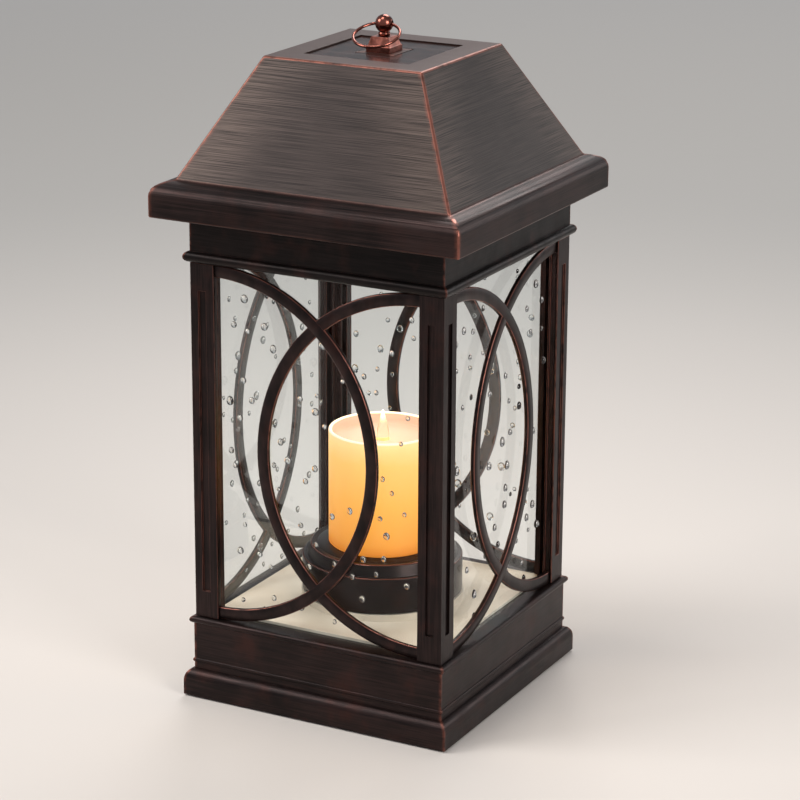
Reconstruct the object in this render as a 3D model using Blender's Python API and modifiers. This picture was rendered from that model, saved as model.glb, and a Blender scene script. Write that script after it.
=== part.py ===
"""Solar garden lantern: a square, roofed lantern that stands on a table and lights an LED candle.

Metres, +Z up. The origin is on the surface that the lantern stands on, at the middle of its base.
The wide front is the -Y side. Each side carries the same pane and the same tracery.
"""
import math

import bmesh
import bpy
from mathutils import Matrix, Vector

# ---------------------------------------------------------------- driving sizes
GAP = 0.0003                 # between pieces that touch

# widths over the square plan; the mouldings stand proud of the body by what is named here
BODY_W = 0.154               # over the outer faces of the posts and the frieze
PLINTH_PROUD = 0.0055
BAND_PROUD = 0.0008
EAVE_PROUD = 0.016
ROOF_FOOT_PROUD = 0.0055     # where the slopes start, above the eave
ROOF_TOP_W = 0.095           # the flat top

# heights, from the surface up
FOOT_PROUD = 0.001           # the feet hold the plinth this far off the surface
PLINTH_H = 0.015
BAND_H = 0.0275
LOW_BEAD_H = 0.004
OPENING_H = 0.2045           # from the base to the frieze, the height of the posts
TOP_BEAD_H = 0.006
FRIEZE_H = 0.0194
FASCIA_H = 0.0119
EAVE_ROUND_H = 0.0077
ROOF_RISE = 0.0647

# walls
BASE_WALL = 0.0025
DECK_T = 0.003
FRIEZE_WALL = 0.0028
CEILING_T = 0.003
ROOF_WALL = 0.0024
TOP_T = 0.0024

# corner posts and what they hold
POST_FACE = 0.0145
POST_LEG_T = 0.0057
POST_BOSS = 0.008
POST_CHAMFER = 0.003         # cut off the boss, leaving room for the panel lead
POST_LIP = 0.001             # in front of the tracery
GROOVE_DEPTH = 0.004
FLUTE_W = 0.0047
FLUTE_D = 0.0012
FLUTE_END = 0.0157
ROD_INSET = 0.0046           # of a tie rod's axis from both outer faces
ROD_R = 0.0015
TRACERY_T = 0.0026
BAR_W = 0.007
UNDER_STEP = 0.00008         # of the second arc, and again of the rails, below the first arc's faces
ARC_PAST_MIDDLE = 0.0370     # how far each arc's outer edge reaches past the middle
GLASS_T = 0.002
STRIP_T = 0.0017
STRIP_SHORT = 0.0015         # of the strips' legs behind the posts' edges

# base inside
DECK_LEDGE = 0.021           # from the posts' faces to the opening in the deck
FLOOR_T = 0.0017
FLOOR_BOSS_R = 0.0462
FLOOR_BOSS_H = 0.004
COVER_T = 0.0022
COVER_Z = 0.0035
FOOT_R = 0.006
FOOT_INSET = 0.0125          # of a foot's middle from the plinth's faces
SCREW_BOSS_R = 0.004
SCREW_BOSS_INSET = 0.0158    # from the band's faces

# battery, its bay and its door
CELL_R = 0.00725
CELL_L = 0.0493
CELL_NUB_R = 0.0027
CELL_NUB_L = 0.0012
BAY_L = 0.056
BAY_WALL = 0.0015
BAY_Y = -0.020               # of the bay's middle
DOOR_T = 0.0013
DOOR_LAP = 0.003             # of the door over the edge of its opening
SPRING_SPACE = 0.0037        # between the bay's end wall and the cell
SPRING_WIRE_R = 0.00025

# switch and circuit board
BOARD_L = 0.036
BOARD_D = 0.024
BOARD_T = 0.0016
BOARD_Y = 0.035
PEG_R = 0.001
STANDOFF_R = 0.0025
SWITCH_L = 0.012
SWITCH_D = 0.006
SWITCH_H = 0.004
SLIDER_L = 0.004
SLIDER_D = 0.0026
SLIDER_TRAVEL = 0.003

# solar panel and finial
RECESS_W = 0.0636
RECESS_D = 0.0031
PANEL_T = 0.002
PANEL_HOLE_W = 0.024
PANEL_FIT = 0.0006           # around the panel, and inside its hole
FINIAL_FOOT_W = 0.0146
FINIAL_FOOT_H = 0.0052
FINIAL_BLOCK_W = 0.0134
FINIAL_BLOCK_TOP_W = 0.0104
FINIAL_BLOCK_H = 0.005
COLLAR_R = 0.0032
COLLAR_H = 0.0018
BALL_R = 0.005
BALL_UP = 0.0066             # of the ball's centre above the block
SHANK_R = 0.002
SHANK_FIT = 0.0003           # around the shank in its bores
NUT_W = 0.007
NUT_H = 0.003
WASHER_R = 0.005
WASHER_T = 0.001

# hanging ring
RING_R = 0.0126
RING_WIRE_R = 0.00085
RING_BORE_R = 0.0019
RING_SAG = 0.0005            # of the wire's middle past the hinge line, inside the bore
RING_TURN = math.radians(7)  # of the hinge line from the X axis
RING_LEAN = math.radians(21) # of the ring below level, to the front

# candle and its holder
HOLDER_R = 0.0455
HOLDER_SHOULDER_R = 0.0423
HOLDER_STEP_H = 0.0208
HOLDER_H = 0.0273
HOLDER_WALL = 0.0022
SPIGOT_H = 0.004
HOLDER_BOSS_AT = 0.036
CANDLE_R = 0.0305
CANDLE_H = 0.0668
CANDLE_WALL = 0.002
CANDLE_DISH = 0.0065
LENS_R = 0.0036
LENS_UP = 0.0172             # of the flame's tip above the dish
LENS_FLANGE_R = 0.006
STEM_R = 0.006
STEM_WALL = 0.0014
LAMP_BOARD_R = 0.011
LAMP_LED_R = 0.0025
LEAD_R = 0.0006

# ---------------------------------------------------------------- levels and widths that follow
PLINTH_W = BODY_W + 2 * PLINTH_PROUD
BAND_W = BODY_W + 2 * BAND_PROUD
EAVE_W = BODY_W + 2 * EAVE_PROUD
ROOF_FOOT_W = BODY_W + 2 * ROOF_FOOT_PROUD
DECK_HOLE_W = BODY_W - 2 * DECK_LEDGE
FOOT_AT = PLINTH_W / 2 - FOOT_INSET
SCREW_BOSS_AT = BAND_W / 2 - SCREW_BOSS_INSET
SHANK_BORE = 2 * (SHANK_R + SHANK_FIT)
BASE_Z = FOOT_PROUD
PLINTH_TOP = BASE_Z + PLINTH_H
BAND_TOP = PLINTH_TOP + BAND_H
DECK_Z = BAND_TOP + LOW_BEAD_H
FRAME_Z = DECK_Z + OPENING_H
FRAME_TOP = FRAME_Z + TOP_BEAD_H + FRIEZE_H
EAVE_Z = FRAME_TOP + GAP
FASCIA_TOP = EAVE_Z + FASCIA_H
ROOF_FOOT_Z = FASCIA_TOP + EAVE_ROUND_H
ROOF_TOP_Z = ROOF_FOOT_Z + ROOF_RISE
RECESS_Z = ROOF_TOP_Z - RECESS_D
ROOF_INNER_TOP = RECESS_Z - TOP_T
PANEL_Z = RECESS_Z + GAP

FLOOR_Z = DECK_Z + GAP
FLOOR_TOP = FLOOR_Z + FLOOR_T
FLOOR_BOSS_TOP = FLOOR_TOP + FLOOR_BOSS_H
COVER_TOP = COVER_Z + COVER_T
HOLDER_Z = FLOOR_BOSS_TOP + GAP
HOLDER_TOP = HOLDER_Z + HOLDER_H
CANDLE_Z = HOLDER_TOP + GAP
CANDLE_TOP = CANDLE_Z + CANDLE_H
DISH_Z = CANDLE_TOP - CANDLE_DISH

GLASS_IN = POST_LEG_T + GAP              # depth of a pane behind the posts' faces
STRIP_IN = GLASS_IN + GLASS_T + GAP
TRACERY_IN = POST_LIP + GAP
ROD_AT = BODY_W / 2 - ROD_INSET
LEAD_INSET = STRIP_IN - LEAD_R - 0.0005
LEAD_AT = BODY_W / 2 - LEAD_INSET

FINIAL_Z = RECESS_Z + GAP
FINIAL_BLOCK_Z = FINIAL_Z + FINIAL_FOOT_H
FINIAL_TOP = FINIAL_BLOCK_Z + FINIAL_BLOCK_H
BALL_Z = FINIAL_TOP + BALL_UP

SQUARE_SIDES = 4
ROUND_STEPS = 40
SMALL_STEPS = 14
CORNERS = ((1, -1), (1, 1), (-1, 1), (-1, -1))
SIDES = ("front", "right", "back", "left")

# ---------------------------------------------------------------- scene
for old in list(bpy.data.objects):
    bpy.data.objects.remove(old, do_unlink=True)

parts = bpy.data.collections.new("solar_garden_light")
cutters = bpy.data.collections.new("cutters")
for group in (parts, cutters):
    bpy.context.scene.collection.children.link(group)


def material(name, colour, roughness, metallic=0.0):
    """One Principled BSDF material."""
    made = bpy.data.materials.new(name)
    made.use_nodes = True
    shader = made.node_tree.nodes["Principled BSDF"]
    shader.inputs["Base Color"].default_value = (*colour, 1.0)
    shader.inputs["Roughness"].default_value = roughness
    shader.inputs["Metallic"].default_value = metallic
    return made


def bronze(name):
    """Oil-rubbed bronze, near black with a red cast."""
    return material(name, (0.030, 0.020, 0.018), 0.42, 0.85)


def copper(name):
    """Polished copper plating."""
    return material(name, (0.45, 0.17, 0.11), 0.22, 1.0)


def steel(name):
    """Zinc-plated steel."""
    return material(name, (0.50, 0.50, 0.48), 0.35, 1.0)


def plastic(name, colour):
    """Moulded plastic."""
    return material(name, colour, 0.5)


# ---------------------------------------------------------------- helpers
def add_object(name, data, look):
    """Put new data into the parts collection under a node's name."""
    made = bpy.data.objects.new(name, data)
    parts.objects.link(made)
    if look is not None:
        data.materials.append(look)
    return made


def mesh_from_bmesh(name, shape):
    """A mesh from a bmesh, which is freed."""
    bmesh.ops.recalc_face_normals(shape, faces=shape.faces)
    mesh = bpy.data.meshes.new(name)
    shape.to_mesh(mesh)
    shape.free()
    return mesh


def box_mesh(name, low, high):
    """A box between two corners."""
    shape = bmesh.new()
    bmesh.ops.create_cube(shape, size=1.0)
    low = Vector(low)
    high = Vector(high)
    scale = Matrix.Diagonal((*(high - low), 1.0))
    bmesh.ops.transform(shape, matrix=Matrix.Translation((low + high) / 2) @ scale, verts=shape.verts)
    return mesh_from_bmesh(name, shape)


def box(name, low, high, look):
    """A box between two corners, as a part."""
    return add_object(name, box_mesh(name, low, high), look)


def rod_mesh(name, radius, bottom, top, at=(0.0, 0.0), steps=SMALL_STEPS):
    """An upright cylinder."""
    shape = bmesh.new()
    place = Matrix.Translation((at[0], at[1], (bottom + top) / 2))
    bmesh.ops.create_cone(shape, cap_ends=True, segments=steps, radius1=radius, radius2=radius,
                          depth=top - bottom, matrix=place)
    return mesh_from_bmesh(name, shape)


def arc(centre, radius_x, radius_z, start, end, count):
    """Points along an ellipse's arc, angles in degrees from +X towards +Z."""
    points = []
    for step in range(count + 1):
        angle = math.radians(start + (end - start) * step / count)
        points.append((centre[0] + radius_x * math.cos(angle), centre[1] + radius_z * math.sin(angle)))
    return points


def turned(name, profile, steps, look, closed=True):
    """A profile turned about Z. Its points are (distance from the axis, height).

    The profile runs down the outer side. With four steps it makes a square moulding, whose
    profile is read at the middle of a side.
    """
    square = steps == SQUARE_SIDES
    stretch = math.sqrt(2.0) if square else 1.0
    mesh = bpy.data.meshes.new(name)
    edges = [(i, i + 1) for i in range(len(profile) - 1)]
    if closed:
        edges.append((len(profile) - 1, 0))
    mesh.from_pydata([(x * stretch, 0.0, z) for x, z in profile], edges, [])
    made = add_object(name, mesh, look)
    if square:
        made.rotation_euler.z = math.pi / 4
    screw = made.modifiers.new("turn", "SCREW")
    screw.steps = steps
    screw.render_steps = steps
    screw.use_merge_vertices = True
    screw.merge_threshold = 0.00001
    screw.use_smooth_shade = False
    return made


def outline(name, loops, bottom, top, look):
    """Flat outlines, the first with the others as holes, given a thickness along Z."""
    curve = bpy.data.curves.new(name, "CURVE")
    curve.dimensions = "2D"
    curve.fill_mode = "BOTH"
    curve.extrude = (top - bottom) / 2
    for loop in loops:
        spline = curve.splines.new("POLY")
        spline.points.add(len(loop) - 1)
        for point, (x, y) in zip(spline.points, loop):
            point.co = (x, y, 0.0, 1.0)
        spline.use_cyclic_u = True
    made = add_object(name, curve, look)
    made.location.z = (bottom + top) / 2
    return made


def tube(name, points, radius, look):
    """A round wire along points."""
    curve = bpy.data.curves.new(name, "CURVE")
    curve.dimensions = "3D"
    curve.bevel_depth = radius
    curve.bevel_resolution = 2
    curve.use_fill_caps = True
    spline = curve.splines.new("POLY")
    spline.points.add(len(points) - 1)
    for point, place in zip(spline.points, points):
        point.co = (*place, 1.0)
    return add_object(name, curve, look)


def smooth_route(points, per_span):
    """Points of a smooth curve through the given points."""
    route = []
    spans = len(points) - 1
    for i in range(spans):
        before = Vector(points[max(i - 1, 0)])
        start = Vector(points[i])
        end = Vector(points[i + 1])
        after = Vector(points[min(i + 2, spans)])
        for step in range(per_span):
            t = step / per_span
            route.append(0.5 * (2 * start + (end - before) * t
                                + (2 * before - 5 * start + 4 * end - after) * t ** 2
                                + (3 * start - before - 3 * end + after) * t ** 3))
    route.append(Vector(points[-1]))
    return route


def settled(made):
    """Replace an object's data by the plain mesh that it evaluates to, with its ends welded."""
    bpy.context.view_layer.update()
    graph = bpy.context.evaluated_depsgraph_get()
    mesh = bpy.data.meshes.new_from_object(made.evaluated_get(graph))
    mesh.transform(made.matrix_world)
    shape = bmesh.new()
    shape.from_mesh(mesh)
    bmesh.ops.remove_doubles(shape, verts=shape.verts, dist=0.000001)
    shape.to_mesh(mesh)
    shape.free()
    name = made.name
    bpy.data.objects.remove(made, do_unlink=True)
    mesh.name = name
    return add_object(name, mesh, None)


def combine(made, meshes, operation):
    """Join meshes to an object or cut them from it."""
    for number, mesh in enumerate(meshes):
        tool = bpy.data.objects.new(f"{made.name}_{operation.lower()}_{number}", mesh)
        cutters.objects.link(tool)
        tool.hide_render = True
        tool.display_type = "WIRE"
        change = made.modifiers.new(f"{operation.lower()}_{number}", "BOOLEAN")
        change.operation = operation
        change.solver = "EXACT"
        change.object = tool
    return made


def cut(made, *meshes):
    """Cut meshes from an object."""
    return combine(made, meshes, "DIFFERENCE")


def join(made, *meshes):
    """Join meshes to an object."""
    return combine(made, meshes, "UNION")


def quarter_turns(name_of, first):
    """Three more copies of a settled part, turned about Z, sharing its mesh."""
    first.name = name_of(0)
    copies = [first]
    for turn in range(1, 4):
        copy = bpy.data.objects.new(name_of(turn), first.data)
        parts.objects.link(copy)
        copy.rotation_euler.z = turn * math.pi / 2
        copies.append(copy)
    return copies


def smooth(made, degrees=40):
    """Smooth shading that keeps the hard edges."""
    made.data.shade_smooth()
    made.data.set_sharp_from_angle(angle=math.radians(degrees))
    return made


def screw_profile(head_r, head_h, shank_r, head_z, tip_z):
    """Half section of a pan-head screw that points up, for turning."""
    return [(0.0, tip_z), (shank_r * 0.6, tip_z), (shank_r, tip_z - shank_r * 0.6),
            (shank_r, head_z + head_h), (head_r, head_z + head_h), (head_r, head_z + head_h * 0.4),
            (head_r * 0.7, head_z), (0.0, head_z)]


def screw(name, head_r, head_h, shank_r, head_z, tip_z, at):
    """A pan-head screw that points up."""
    made = turned(name, screw_profile(head_r, head_h, shank_r, head_z, tip_z), SMALL_STEPS,
                  steel(name), closed=False)
    made.location.x, made.location.y = at
    return made


# ---------------------------------------------------------------- base
def make_base_shell():
    """Plinth, band and bead in one moulding, open below, with a deck that the posts stand on."""
    half = PLINTH_W / 2
    band = BAND_W / 2
    inner = band - BASE_WALL
    ledge_z = COVER_TOP + GAP
    ovolo_x = band + 0.0003
    ovolo_z = BASE_Z + 0.0083
    fillet_z = PLINTH_TOP + 0.0051
    bead_r = LOW_BEAD_H / 2
    profile = [(DECK_HOLE_W / 2, DECK_Z)]
    profile += arc((band, BAND_TOP + bead_r), bead_r, bead_r, 90, -90, 8)
    profile += arc((band, fillet_z), 0.0007, 0.0012, 90, -90, 6)
    profile += [(band, PLINTH_TOP)]
    profile += arc((ovolo_x, ovolo_z), half - ovolo_x, PLINTH_TOP - ovolo_z, 90, 0, 7)
    profile += [(half, BASE_Z), (half - BASE_WALL, BASE_Z), (half - BASE_WALL, ledge_z),
                (inner, ledge_z + 0.004), (inner, DECK_Z - DECK_T), (DECK_HOLE_W / 2, DECK_Z - DECK_T)]
    shell = settled(turned("base_shell", profile, SQUARE_SIDES, bronze("base_bronze")))
    bosses = []
    pilots = []
    rod_holes = []
    for x, y in CORNERS:
        at = (x * SCREW_BOSS_AT, y * SCREW_BOSS_AT)
        bosses.append(rod_mesh("boss", SCREW_BOSS_R, COVER_TOP + GAP, DECK_Z - DECK_T / 2, at))
        pilots.append(rod_mesh("pilot", 0.0014, COVER_Z, COVER_TOP + 0.014, at))
        rod_holes.append(rod_mesh("rod_hole", ROD_R + GAP, DECK_Z - 2 * DECK_T, DECK_Z + DECK_T,
                                  (x * ROD_AT, y * ROD_AT)))
    lead_hole = rod_mesh("lead_hole", LEAD_R + 2 * GAP, DECK_Z - 2 * DECK_T, DECK_Z + DECK_T,
                         (-LEAD_AT, LEAD_AT))
    join(shell, *bosses)
    cut(shell, *pilots, *rod_holes, lead_hole)
    return shell


def make_bottom_cover():
    """Plate that closes the base, with the battery opening, the switch slot and the board's pegs."""
    half = PLINTH_W / 2 - BASE_WALL - GAP
    cover = box("bottom_cover", (-half, -half, COVER_Z), (half, half, COVER_TOP),
                plastic("cover_plastic", (0.02, 0.02, 0.02)))
    standoffs = []
    for side in (-1, 1):
        at = (side * BOARD_PEG_X, BOARD_Y)
        standoffs.append(rod_mesh("standoff", STANDOFF_R, COVER_TOP - COVER_T / 2, BOARD_Z - GAP, at))
        standoffs.append(rod_mesh("peg", PEG_R, COVER_TOP, BOARD_Z + BOARD_T + 0.001, at))
    standoffs.append(rod_mesh("door_boss", 0.0032, COVER_TOP - COVER_T / 2, COVER_TOP + 0.006,
                              (DOOR_SCREW_X, BAY_Y)))
    holes = [box_mesh("bay_opening", (BAY_OPENING_X[0], BAY_Y - BAY_OPENING_D / 2, 0.0),
                      (BAY_OPENING_X[1], BAY_Y + BAY_OPENING_D / 2, COVER_TOP + 0.001)),
             box_mesh("switch_slot",
                      (SLIDER_X - SLIDER_L / 2 - GAP, BOARD_Y - SLIDER_D / 2 - GAP, 0.0),
                      (SLIDER_X + SLIDER_L / 2 + SLIDER_TRAVEL + GAP, BOARD_Y + SLIDER_D / 2 + GAP,
                       COVER_TOP + 0.001)),
             rod_mesh("door_pilot", 0.0013, 0.0, COVER_TOP + 0.004, (DOOR_SCREW_X, BAY_Y))]
    for x, y in CORNERS:
        holes.append(rod_mesh("screw_hole", 0.0018, 0.0, COVER_TOP + 0.001,
                              (x * SCREW_BOSS_AT, y * SCREW_BOSS_AT)))
    join(cover, *standoffs)
    cut(cover, *holes)
    return cover


def make_feet_and_screws():
    """Four rubber feet and the four screws that hold the cover."""
    for number, (x, y) in enumerate(CORNERS, 1):
        foot = add_object(f"foot_{number}", rod_mesh("foot", FOOT_R, 0.0, COVER_Z - GAP, steps=20),
                          material(f"foot_rubber_{number}", (0.015, 0.015, 0.015), 0.8))
        foot.location.x = x * FOOT_AT
        foot.location.y = y * FOOT_AT
        screw(f"cover_screw_{number}", 0.0028, 0.0016, 0.0011, COVER_Z - GAP - 0.0016,
              COVER_TOP + 0.012, (x * SCREW_BOSS_AT, y * SCREW_BOSS_AT))


BAY_X = (-BAY_L / 2 - 0.002, BAY_L / 2 - 0.002)
BAY_OPENING_X = (BAY_X[0] - 0.004, BAY_X[1])
BAY_OPENING_D = 2 * CELL_R + 0.0027
BAY_INNER_D = BAY_OPENING_D + 0.0003
CELL_Z = COVER_Z - GAP + CELL_R + GAP
BAY_INNER_TOP = CELL_Z + CELL_R + 0.0005
CELL_X = BAY_X[0] + SPRING_SPACE
DOOR_X = (BAY_OPENING_X[0] - DOOR_LAP, BAY_X[1] + BAY_WALL + 0.0115)
DOOR_TOP = COVER_Z - GAP
DOOR_SCREW_X = BAY_X[1] + BAY_WALL + 0.0062
SWITCH_Z = COVER_TOP + 0.0035
BOARD_Z = SWITCH_Z + SWITCH_H + GAP
BOARD_PEG_X = BOARD_L / 2 - 0.004
SLIDER_X = -SLIDER_TRAVEL / 2


def make_battery_group():
    """Battery bay, cell, contacts and the screwed door below them."""
    deep = BAY_INNER_D / 2
    low = (BAY_X[0], BAY_Y - deep, COVER_TOP + GAP)
    high = (BAY_X[1], BAY_Y + deep, BAY_INNER_TOP)
    bay_mesh = box_mesh("battery_bay", low, high)
    shape = bmesh.new()
    shape.from_mesh(bay_mesh)
    floor = [face for face in shape.faces if face.normal.z < -0.5]
    bmesh.ops.delete(shape, geom=floor, context="FACES")
    shape.to_mesh(bay_mesh)
    shape.free()
    bay = add_object("battery_bay", bay_mesh, plastic("bay_plastic", (0.03, 0.03, 0.03)))
    wall = bay.modifiers.new("wall", "SOLIDIFY")
    wall.thickness = BAY_WALL
    wall.offset = 1.0
    wall.use_even_offset = True

    nub = CELL_L + CELL_NUB_L
    profile = [(0.0, nub), (CELL_NUB_R, nub), (CELL_NUB_R, CELL_L), (CELL_R - 0.0006, CELL_L),
               (CELL_R, CELL_L - 0.0006), (CELL_R, 0.0006), (CELL_R - 0.0006, 0.0), (0.0, 0.0)]
    cell = turned("battery_cell", profile, 24, plastic("cell_sleeve", (0.10, 0.30, 0.12)), closed=False)
    cell.rotation_euler.y = math.pi / 2
    cell.location = (CELL_X, BAY_Y, CELL_Z)

    plate_x = CELL_X + nub + GAP
    box("battery_contact", (plate_x, BAY_Y - 0.004, CELL_Z - 0.004),
        (plate_x + 0.0005, BAY_Y + 0.004, CELL_Z + 0.004), steel("contact_steel"))

    turns = 2.5
    per_turn = 12
    count = int(turns * per_turn)
    start = BAY_X[0] + GAP + SPRING_WIRE_R
    length = SPRING_SPACE - 2 * GAP - 2 * SPRING_WIRE_R
    coil = []
    for step in range(count + 1):
        t = step / count
        angle = 2 * math.pi * turns * t
        radius = 0.0045 - 0.002 * t
        coil.append((start + length * t, BAY_Y + radius * math.cos(angle), CELL_Z + radius * math.sin(angle)))
    tube("battery_spring", coil, SPRING_WIRE_R, steel("spring_steel"))

    door = box("battery_door", (DOOR_X[0], BAY_Y - BAY_OPENING_D / 2 - DOOR_LAP, DOOR_TOP - DOOR_T),
               (DOOR_X[1], BAY_Y + BAY_OPENING_D / 2 + DOOR_LAP, DOOR_TOP),
               plastic("door_plastic", (0.02, 0.02, 0.02)))
    tongue_x = BAY_OPENING_X[0] + GAP
    stem = box_mesh("tongue_stem", (tongue_x, BAY_Y - 0.004, DOOR_TOP - DOOR_T / 2),
                    (tongue_x + 0.0012, BAY_Y + 0.004, COVER_TOP + 0.0012))
    hook = box_mesh("tongue_hook", (tongue_x - 0.0022, BAY_Y - 0.004, COVER_TOP + GAP),
                    (tongue_x + 0.0012, BAY_Y + 0.004, COVER_TOP + 0.0014))
    join(door, stem, hook)
    cut(door, rod_mesh("door_screw_hole", 0.0014, 0.0, COVER_Z, (DOOR_SCREW_X, BAY_Y)))
    screw("door_screw", 0.0022, 0.0011, 0.001, DOOR_TOP - DOOR_T - GAP - 0.0011, COVER_TOP + 0.0033,
          (DOOR_SCREW_X, BAY_Y))


def make_switch_group():
    """Circuit board on its pegs, and the slide switch that reaches through the cover."""
    board = box("circuit_board", (-BOARD_L / 2, BOARD_Y - BOARD_D / 2, BOARD_Z),
                (BOARD_L / 2, BOARD_Y + BOARD_D / 2, BOARD_Z + BOARD_T),
                plastic("board_green", (0.02, 0.12, 0.05)))
    holes = []
    for side in (-1, 1):
        holes.append(rod_mesh("peg_hole", PEG_R + GAP, BOARD_Z - 0.001, BOARD_Z + BOARD_T + 0.001,
                              (side * BOARD_PEG_X, BOARD_Y)))
    cut(board, *holes)

    body = box("switch_body", (-SWITCH_L / 2, BOARD_Y - SWITCH_D / 2, SWITCH_Z),
               (SWITCH_L / 2, BOARD_Y + SWITCH_D / 2, SWITCH_Z + SWITCH_H), steel("switch_can"))
    cut(body, box_mesh("slider_slot",
                       (SLIDER_X - SLIDER_L / 2 - GAP, BOARD_Y - SLIDER_D / 2 - GAP, COVER_Z),
                       (SLIDER_X + SLIDER_L / 2 + SLIDER_TRAVEL + GAP, BOARD_Y + SLIDER_D / 2 + GAP,
                        SWITCH_Z + 0.0025)))

    pad_low = COVER_Z - GAP - 0.0012
    stem = box_mesh("switch_slider", (-SLIDER_L / 2, -SLIDER_D / 2, 0.0),
                    (SLIDER_L / 2, SLIDER_D / 2, SWITCH_Z + 0.002 - pad_low))
    slider = add_object("switch_slider", stem, plastic("slider_plastic", (0.03, 0.03, 0.03)))
    slider.location = (SLIDER_X, BOARD_Y, pad_low)
    pad = box_mesh("slider_pad", (SLIDER_X - 0.003, BOARD_Y - 0.0025, pad_low),
                   (SLIDER_X + 0.003, BOARD_Y + 0.0025, COVER_Z - GAP))
    join(slider, pad)


def make_floor_plate():
    """Pale plate that closes the deck, with the round step that the candle holder stands on."""
    half = BODY_W / 2 - STRIP_IN
    plate = box("floor_plate", (-half, -half, FLOOR_Z), (half, half, FLOOR_TOP),
                plastic("floor_cream", (0.62, 0.55, 0.45)))
    join(plate, rod_mesh("round_step", FLOOR_BOSS_R, FLOOR_Z + FLOOR_T / 2, FLOOR_BOSS_TOP,
                         steps=ROUND_STEPS))
    holes = [rod_mesh("lead_hole", 0.003, DECK_Z - 0.002, FLOOR_BOSS_TOP + 0.001)]
    for side in (-1, 1):
        holes.append(rod_mesh("screw_hole", 0.0018, DECK_Z - 0.002, FLOOR_BOSS_TOP + 0.001,
                              (side * HOLDER_BOSS_AT, 0.0)))
    cut(plate, *holes)
    return plate


# ---------------------------------------------------------------- lantern body
def make_posts():
    """Four corner posts: an angle with a boss for the tie rod and a groove for the tracery."""
    corner = BODY_W / 2
    groove_in = POST_LIP
    groove_out = POST_LIP + TRACERY_T + 2 * GAP
    groove_end = POST_FACE - GROOVE_DEPTH
    leg = [(0.0, 0.0), (POST_FACE, 0.0), (POST_FACE, groove_in), (groove_end, groove_in),
           (groove_end, groove_out), (POST_FACE, groove_out), (POST_FACE, POST_LEG_T),
           (POST_BOSS, POST_LEG_T), (POST_BOSS, POST_BOSS - POST_CHAMFER)]
    if POST_BOSS - POST_CHAMFER <= POST_LEG_T:
        chamfer_sum = 2 * POST_BOSS - POST_CHAMFER
        leg[-2:] = [(chamfer_sum - POST_LEG_T, POST_LEG_T)]
    mirrored = [(y, x) for x, y in reversed(leg[1:])]
    section = [(corner - x, -corner + y) for x, y in leg + mirrored]
    hole = [(ROD_AT + x, -ROD_AT + y) for x, y in arc((0.0, 0.0), ROD_R + GAP, ROD_R + GAP, 0, 330, 11)]
    post = settled(outline("corner_post", [section, hole], DECK_Z + GAP, FRAME_Z - GAP,
                           bronze("post_bronze")))
    mid = corner - POST_FACE / 2
    low = DECK_Z + FLUTE_END
    high = FRAME_Z - FLUTE_END
    deep = FLUTE_D
    front_flute = box_mesh("front_flute", (mid - FLUTE_W / 2, -corner - deep, low),
                           (mid + FLUTE_W / 2, -corner + deep, high))
    side_flute = box_mesh("side_flute", (corner - deep, -mid - FLUTE_W / 2, low),
                          (corner + deep, -mid + FLUTE_W / 2, high))
    post = settled(cut(post, front_flute, side_flute))
    quarter_turns(lambda turn: f"corner_post_{turn + 1}", post)


def tracery_arc(name, side, thickness, centre_z):
    """One half-ellipse bar that springs from a post and bows past the middle."""
    spring_x = BODY_W / 2 - POST_FACE
    reach = spring_x + ARC_PAST_MIDDLE
    rise = OPENING_H / 2 - GAP
    root = spring_x + 0.0015
    outer = arc((0.0, 0.0), reach, rise, 90, -90, 36)
    inner = arc((0.0, 0.0), reach - BAR_W, rise - BAR_W, -90, 90, 36)
    loop = [(spring_x - root, rise)] + outer + [(spring_x - root, -rise)]
    loop += [(spring_x - root, -rise + BAR_W)] + inner + [(spring_x - root, rise - BAR_W)]
    loop = [(side * (x - spring_x), z) for x, z in loop]
    made = outline(name, [loop], 0.0, thickness, None)
    made.rotation_euler.x = math.pi / 2
    made.location = (0.0, -BODY_W / 2 + TRACERY_IN + TRACERY_T / 2, centre_z)
    return settled(made)


def make_tracery():
    """On each side, two arcs that cross, on two rails that slide into the posts' grooves."""
    centre_z = DECK_Z + OPENING_H / 2
    panel = tracery_arc("tracery", 1, TRACERY_T, centre_z)
    panel.data.materials.append(bronze("tracery_bronze"))
    other = tracery_arc("tracery_other_arc", -1, TRACERY_T - 2 * UNDER_STEP, centre_z)
    other_mesh = other.data
    bpy.data.objects.remove(other, do_unlink=True)
    y_low = -BODY_W / 2 + TRACERY_IN + 2 * UNDER_STEP
    y_high = y_low + TRACERY_T - 4 * UNDER_STEP
    z_low = DECK_Z + GAP + UNDER_STEP
    z_high = FRAME_Z - GAP - UNDER_STEP
    rail_in = BODY_W / 2 - POST_FACE
    rail_out = rail_in + GROOVE_DEPTH - GAP
    rails = []
    for side in (-1, 1):
        ends = sorted((side * rail_in, side * rail_out))
        rails.append(box_mesh("rail", (ends[0], y_low, z_low), (ends[1], y_high, z_high)))
    panel = settled(join(panel, other_mesh, *rails))
    quarter_turns(lambda turn: f"tracery_{SIDES[turn]}", panel)


def make_glass():
    """Four clear panes behind the tracery."""
    half = BODY_W / 2 - POST_BOSS - 0.0005
    y_low = -BODY_W / 2 + GLASS_IN
    pane = box("glass", (-half, y_low, DECK_Z + GAP), (half, y_low + GLASS_T, FRAME_Z - GAP),
               material("pane_glass", (0.9, 0.95, 0.95), 0.03))
    quarter_turns(lambda turn: f"glass_{SIDES[turn]}", pane)


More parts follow.
